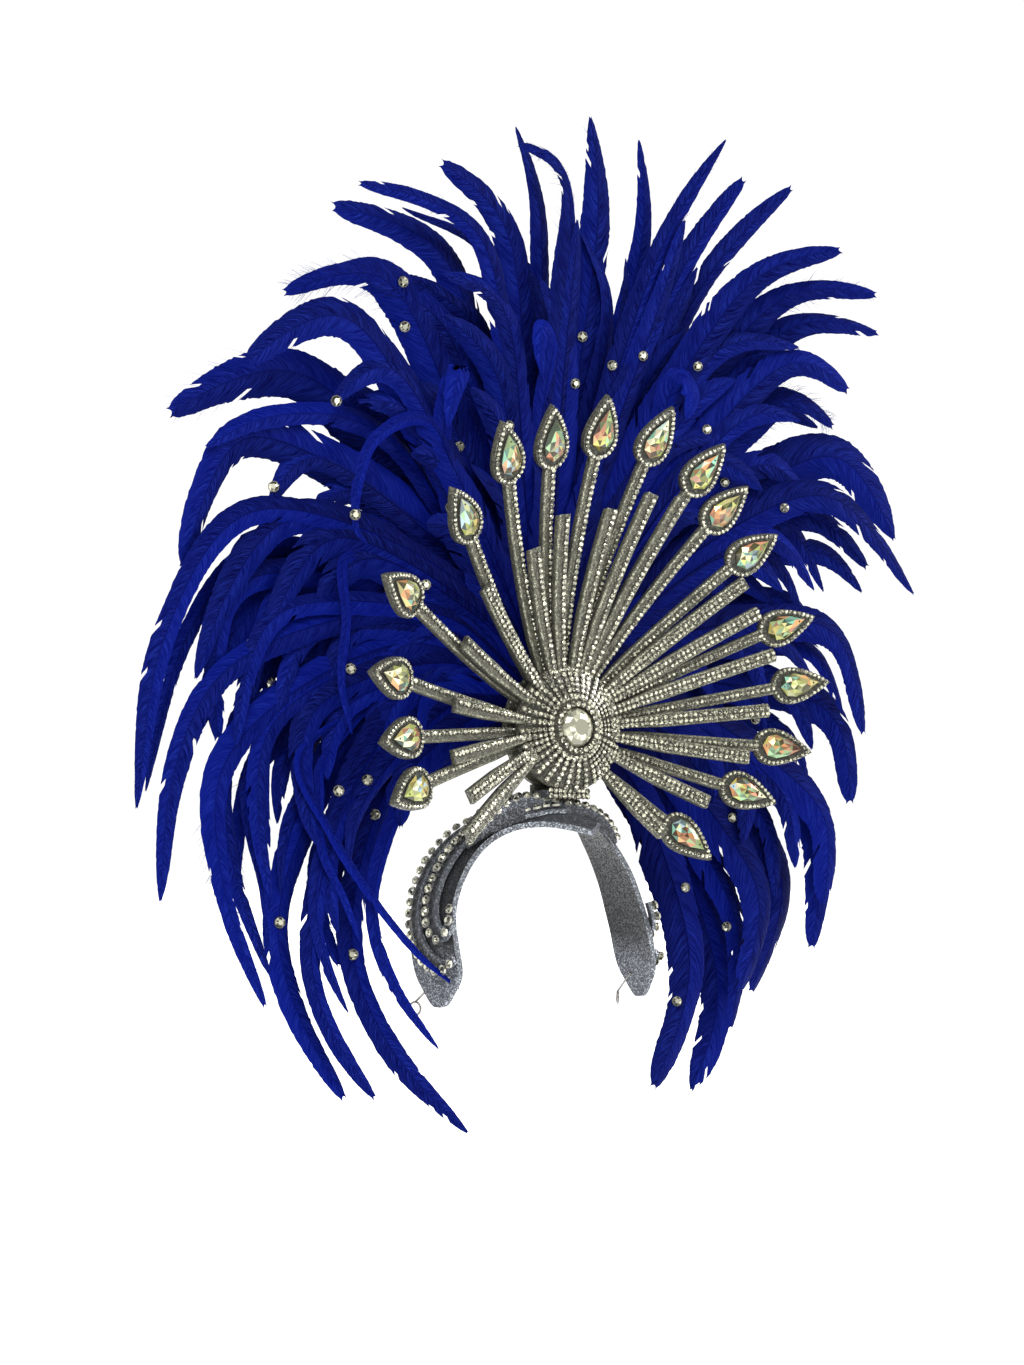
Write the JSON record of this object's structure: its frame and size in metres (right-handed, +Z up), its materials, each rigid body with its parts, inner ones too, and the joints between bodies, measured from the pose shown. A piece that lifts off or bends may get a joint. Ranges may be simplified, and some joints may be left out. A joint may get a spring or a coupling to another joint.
{
  "type": "showgirl feather headdress",
  "caption": "Tall stage headdress: foam headband with scrolls, a sunburst of stone-covered spokes ending in leaves with drop crystals, and a fan of long curved feathers behind",
  "frame": {"origin": "inner top of the headband, where it sits on the crown of the head", "axes": "+Z up from the crown, the wearer faces -Y, +X is the wearer's left"},
  "size_m": [0.6307, 0.1298, 0.6701],
  "materials": {
    "foam": "grey glitter craft foam",
    "stones": "clear silver-backed rhinestones set close together on foam",
    "crystal": "cut glass drops with a rainbow coating",
    "plume": "royal blue dyed feathers, slightly glossy barbs"
  },
  "bodies": {
    "root": {"headband": "foam", "scroll_right": "foam", "scroll_left": "foam", "hub": "stones", "centre_crystal": "crystal", "long_spoke_01": "stones", "crystal_01": "crystal", "long_spoke_02": "stones", "crystal_02": "crystal", "long_spoke_03": "stones", "crystal_03": "crystal", "long_spoke_04": "stones", "crystal_04": "crystal", "long_spoke_05": "stones", "crystal_05": "crystal", "long_spoke_06": "stones", "crystal_06": "crystal", "long_spoke_07": "stones", "crystal_07": "crystal", "long_spoke_08": "stones", "crystal_08": "crystal", "long_spoke_09": "stones", "crystal_09": "crystal", "long_spoke_10": "stones", "crystal_10": "crystal", "long_spoke_11": "stones", "crystal_11": "crystal", "long_spoke_12": "stones", "crystal_12": "crystal", "long_spoke_13": "stones", "crystal_13": "crystal", "long_spoke_14": "stones", "crystal_14": "crystal", "long_spoke_15": "stones", "crystal_15": "crystal", "long_spoke_16": "stones", "crystal_16": "crystal", "long_spoke_17": "stones", "crystal_17": "crystal", "short_spoke_01": "stones", "short_spoke_02": "stones", "short_spoke_03": "stones", "short_spoke_04": "stones", "short_spoke_05": "stones", "short_spoke_06": "stones", "short_spoke_07": "stones", "short_spoke_08": "stones", "short_spoke_09": "stones", "short_spoke_10": "stones", "short_spoke_11": "stones", "short_spoke_12": "stones", "short_spoke_13": "stones", "short_spoke_14": "stones", "short_spoke_15": "stones", "short_spoke_16": "stones", "short_spoke_17": "stones", "short_spoke_18": "stones", "feathers_back": "plume", "feathers_middle": "plume", "feathers_front": "plume"}
  },
  "joints": []
}
